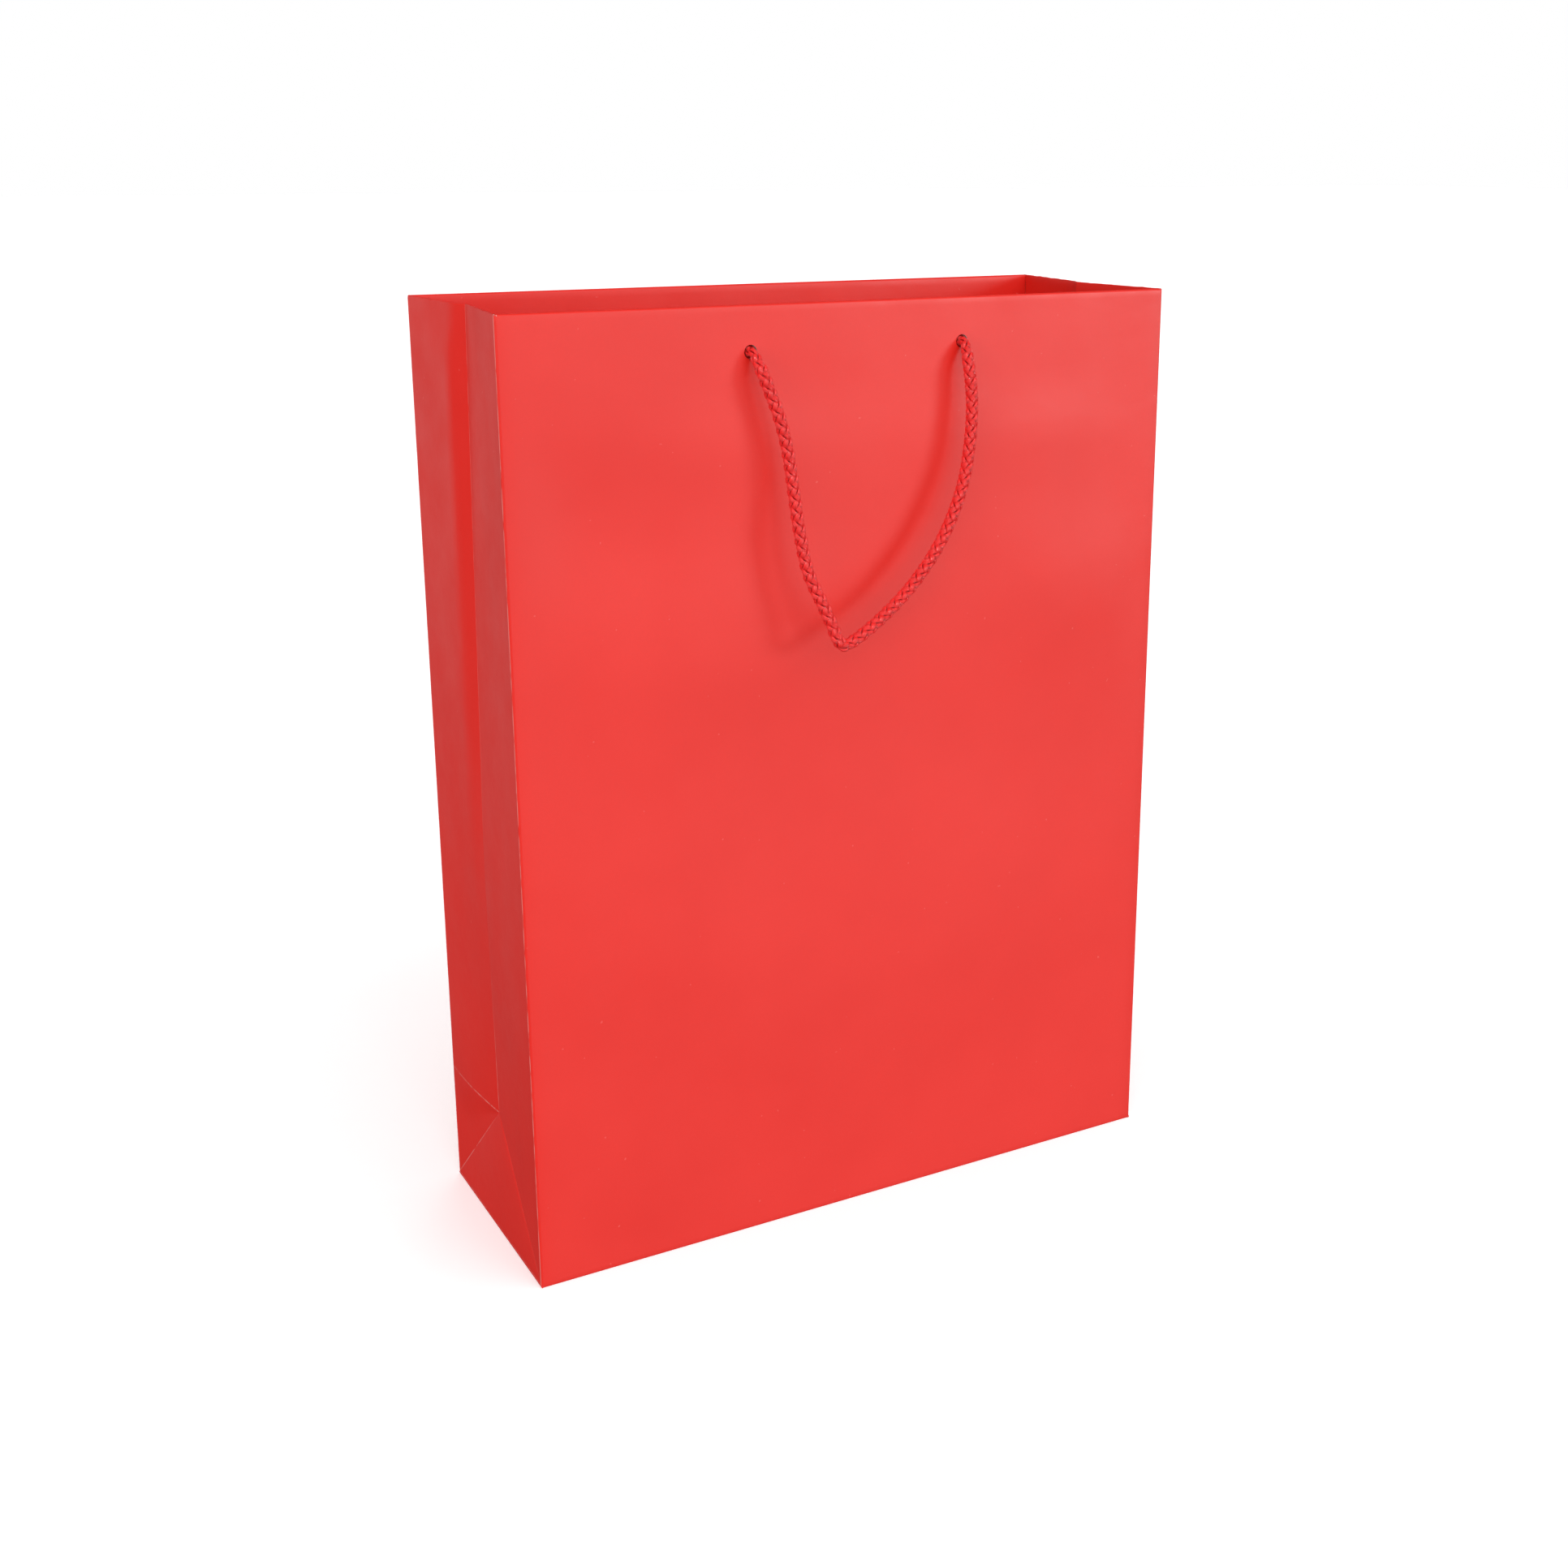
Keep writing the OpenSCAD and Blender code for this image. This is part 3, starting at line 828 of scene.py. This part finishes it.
def add_gusset_half(quarter, papers):
    """One half of a gusset with its hem, in one sheet. It works out a bend along the slant from the apex to
    the top, but doesn't apply it.
    """
    # The rows fan out from the apex up to its own height, and lie closer together at the creases
    near_creases = [0.5 * MM, HALF_D - 0.5 * MM, HALF_D + 0.5 * MM]
    fan = np.sort([*np.linspace(0, HALF_D, FAN_ROWS), *near_creases])
    heights = [*fan, *np.linspace(HALF_D + 4 * MM, quarter.side_l - 1.5 * MM, UPPER_ROWS)]
    rows = hem_rows(quarter.side_l, GUSSET_T, [], heights)
    cols = gusset_columns()
    normal = Vector(np.cross(quarter.up, quarter.middle_top - quarter.top)).normalized()
    if normal.x * quarter.outward < 0:
        normal = -normal
    grid = np.zeros((len(rows), len(cols), 3))
    wear = np.zeros(grid.shape[:2])
    for i, (s, depth) in enumerate(rows):
        corner, middle = quarter.row(min(s, quarter.side_l))
        for j, (u, bend) in enumerate(cols):
            share = u / HALF_D
            point = corner.lerp(middle, share)
            out = quarter.swell(share, s, point)
            grid[i, j] = point + normal * (out - bend - depth) + quarter.up * quarter.rim_wave(u, s)
            wear[i, j] = quarter.wear(u, s) * (depth < PAPER_T)
    keep = kept_faces(len(rows), np.array([u > 1.5 * MM for u, _ in cols]))
    if (quarter.outward < 0) != quarter.rear:
        grid, wear, keep = grid[:, ::-1], wear[:, ::-1], keep[:, ::-1]
    piece = paper_piece(f"{quarter.name}_gusset_sheet", grid, wear, papers, keep)
    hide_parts(*(f"{quarter.name}_gusset_{part}" for part in ("edge", "fold", "hem")))
    slant = (quarter.top - quarter.apex).normalized()
    across = normal.cross(slant).normalized()
    if across.dot(quarter.foot - quarter.apex) > 0:
        across = -across
    middle = (quarter.top + quarter.apex) / 2
    bend = across * BEND_REACH
    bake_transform(piece)


def add_gusset_foot(side, papers):
    """The triangle that stands on the base's side edge."""
    front, back = Quarter(side, "front"), Quarter(side, "back")
    shares = [0, 0.003, 0.012, *np.linspace(0.04, 0.96, FOOT_COLUMNS), 0.986, 0.994, 1]
    heights = [*foot_curl(HINGE_Z, FOOT_TURNS), *((h, 0.0) for h in np.linspace(0, 1, FOOT_ROWS))]
    grid = np.zeros((len(heights), len(shares), 3))
    wear = np.zeros(grid.shape[:2])
    for i, (h, depth) in enumerate(heights):
        rise = max(h, 0.0)
        for j, t in enumerate(shares):
            point = front.foot.lerp(back.foot, t).lerp(front.apex, rise)
            near_front = t ** 0.5 * (1 - t)
            swell = FOOT_SWELL * rise * (1 - rise * rise) * near_front
            grid[i, j] = point + Vector((front.outward * (swell - depth), 0, min(h, 0.0)))
            if rise > 0:
                wear[i, j] = 0.15 * (t == 0) + (0.4 + 0.6 * rise) * (t == 1)
    if front.outward < 0:
        grid, wear = grid[:, ::-1], wear[:, ::-1]
    piece = paper_piece(f"{side}_gusset_foot_sheet", grid, wear, papers)
    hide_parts(f"{side}_gusset_foot")
    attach(piece, f"{side}_foot")


# ---- Base ----

# How far inside the base's outline the front and back flaps end, how much shorter they are at their sides
# as a share of their length, and the rows of points along them
FLAP_INSET = 0.5 * MM
FLAP_SLANT = 0.115
FLAP_ROWS = 28


def add_base_flap(name, node, way, papers):
    """A base flap, red side down. way is the y direction of the crease that it hangs on. The one that hangs
    on the front crease lies over the other, and climbs on to it."""
    length = HALF_D + FLAP_END
    cut = length / 4
    slant_x, side_x = HALF_W - cut, HALF_W - FLAP_INSET
    level = np.linspace(-slant_x, slant_x, 40)[1:-1]
    xs = [*np.linspace(-side_x, -slant_x, 5), *level, *np.linspace(slant_x, side_x, 5)]
    grid = np.zeros((FLAP_ROWS, len(xs), 3))
    for j, x in enumerate(xs):
        slope = max(0.0, abs(x) - slant_x) / cut
        end = FLAP_END - slope * length * FLAP_SLANT
        for i, share in enumerate(np.linspace(0, 1, FLAP_ROWS)):
            y = -HALF_D + FLAP_INSET + share * (end + HALF_D - FLAP_INSET)
            over = 0.0
            if way < 0:
                over = float(smooth_step(y, -FLAP_END - 12 * MM, -FLAP_END - 1 * MM))
            grid[i, j] = (x, y * -way, (PAPER_T + SHEET_GAP) * over)
    if way < 0:
        grid = grid[::-1]
    piece = paper_piece(name, grid, np.zeros(grid.shape[:2]), papers)
    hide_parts(node)
    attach(piece, "base")


def dress_cad_nodes(materials):
    """Materials for the CAD pieces that are shown as they are. The dust flaps' faces that look sideways are
    red, as the outer ones lie along the creases at the bag's foot."""
    looks = {
        "base_left_flap": "bare", "base_right_flap": "bare", "base_board": "board",
        "front_rim_card": "card", "back_rim_card": "card",
    }
    for node, key in looks.items():
        obj = frame["nodes"][node]
        obj.data.materials.clear()
        obj.data.materials.append(materials[key])
        remember_rest(obj)
    for node in ("base_left_flap", "base_right_flap"):
        mesh = frame["nodes"][node].data
        mesh.materials.append(materials["red"])
        for face in mesh.polygons:
            if abs(face.normal.x) > 0.9:
                face.material_index = 1


# ---- Stage ----

FLOOR_SIZE = 30
# Brightness of the studio's walls: as the camera sees them, in reflections, and as soft light
BACKDROP, REFLECTED, AMBIENT = 1.0, 0.05, 0.28
# Soft lights: name, the direction they come from, strength, how wide they look in degrees, and
# whether they light the surface's own colour, its sheen, or both
SOFT_LIGHTS = [
    ("key_light", (0.72, -0.68, 0.16), 0.45, 16, "both"),
    ("front_light", (0, -1, 0.50), 1.16, 70, "both"),
    ("left_light", (-0.87, -0.45, 0.35), 0.95, 60, "both"),
    ("left_bounce", (-0.95, -0.25, -0.25), 0.74, 70, "surface"),
    ("top_light", (0.1, -0.7, 1.0), 1.05, 90, "surface"),
    ("rear_light", (0.55, 0.83, 0.08), 1.8, 50, "surface"),
    ("front_sheen", (0.70, -0.70, 0.15), 1.5, 16, "sheen"),
    ("floor_sheen", (0.38, -0.88, -0.28), 0.68, 44, "sheen"),
    ("rear_sheen", (-0.28, 0.96, 0.05), 0.14, 60, "sheen"),
    ("gusset_sheen", (-0.45, 0.88, 0.05), 0.14, 40, "sheen"),
]


def add_floor():
    """A floor that only the camera sees, so that it throws no light back on the bag."""
    bpy.ops.mesh.primitive_plane_add(size=FLOOR_SIZE, location=(0, 0, 0))
    floor = bpy.context.object
    floor.name = "floor"
    floor.data.materials.append(pale_floor())
    remember_rest(floor)
    floor.visible_diffuse = False
    floor.visible_glossy = False
    floor.visible_shadow = False


def add_backdrop():
    """A white world. Camera rays, reflections and soft light each see a brightness of their own."""
    world = bpy.data.worlds.new("studio")
    bpy.context.scene.world = world
    world.use_nodes = True
    tree = world.node_tree
    background = tree.nodes["Background"]
    background.inputs["Color"].default_value = (1, 1, 1, 1)
    rays = tree.nodes.new("ShaderNodeLightPath")
    lit = tree.nodes.new("ShaderNodeMix")
    shown = tree.nodes.new("ShaderNodeMix")
    lit.inputs["A"].default_value = AMBIENT
    lit.inputs["B"].default_value = REFLECTED
    shown.inputs["B"].default_value = BACKDROP
    tree.links.new(rays.outputs["Is Glossy Ray"], lit.inputs["Factor"])
    tree.links.new(lit.outputs["Result"], shown.inputs["A"])
    tree.links.new(rays.outputs["Is Camera Ray"], shown.inputs["Factor"])
    tree.links.new(shown.outputs["Result"], background.inputs["Strength"])


def add_lights():
    """Broad suns. They light every piece alike, however far it has moved."""
    for name, source, power, width, kind in SOFT_LIGHTS:
        light = bpy.data.lights.new(name, "SUN")
        light.energy = power
        light.angle = math.radians(width)
        lamp = bpy.data.objects.new(name, light)
        lamp.rotation_euler = (-Vector(source)).to_track_quat("-Z", "Y").to_euler()
        lamp.visible_diffuse = kind != "sheen"
        lamp.visible_glossy = kind != "surface"
        bpy.context.scene.collection.objects.link(lamp)


# ---- The whole bag ----

add_camera()
cord_material = braided_cord()
add_handle("front_handle", False, cord_material)
add_handle("back_handle", True, cord_material)
add_knots(cord_material)

papers = [laminated_paper(), bare_paper()]
add_wall("front", FRONT_SWELLS, FRONT_SEED, papers)
add_wall("back", BACK_SWELLS, BACK_SEED, papers)
add_seam_flap(papers)
for side in ("left", "right"):
    add_gusset_foot(side, papers)
    for end in ("front", "back"):
        add_gusset_half(Quarter(side, end), papers)
add_base_flap("base_inner_flap_sheet", "base_inner_flap", -1, papers)
add_base_flap("base_outer_flap_sheet", "base_outer_flap", 1, papers)
dress_cad_nodes({
    "red": papers[0],
    "bare": papers[1],
    "board": grey_card("base_board", (0.74, 0.72, 0.68), (0.62, 0.60, 0.56)),
    "card": grey_card("rim_card", (0.58, 0.50, 0.40), (0.46, 0.39, 0.30)),
})
add_floor()
add_backdrop()
add_lights()
bpy.context.scene.view_settings.view_transform = "Standard"
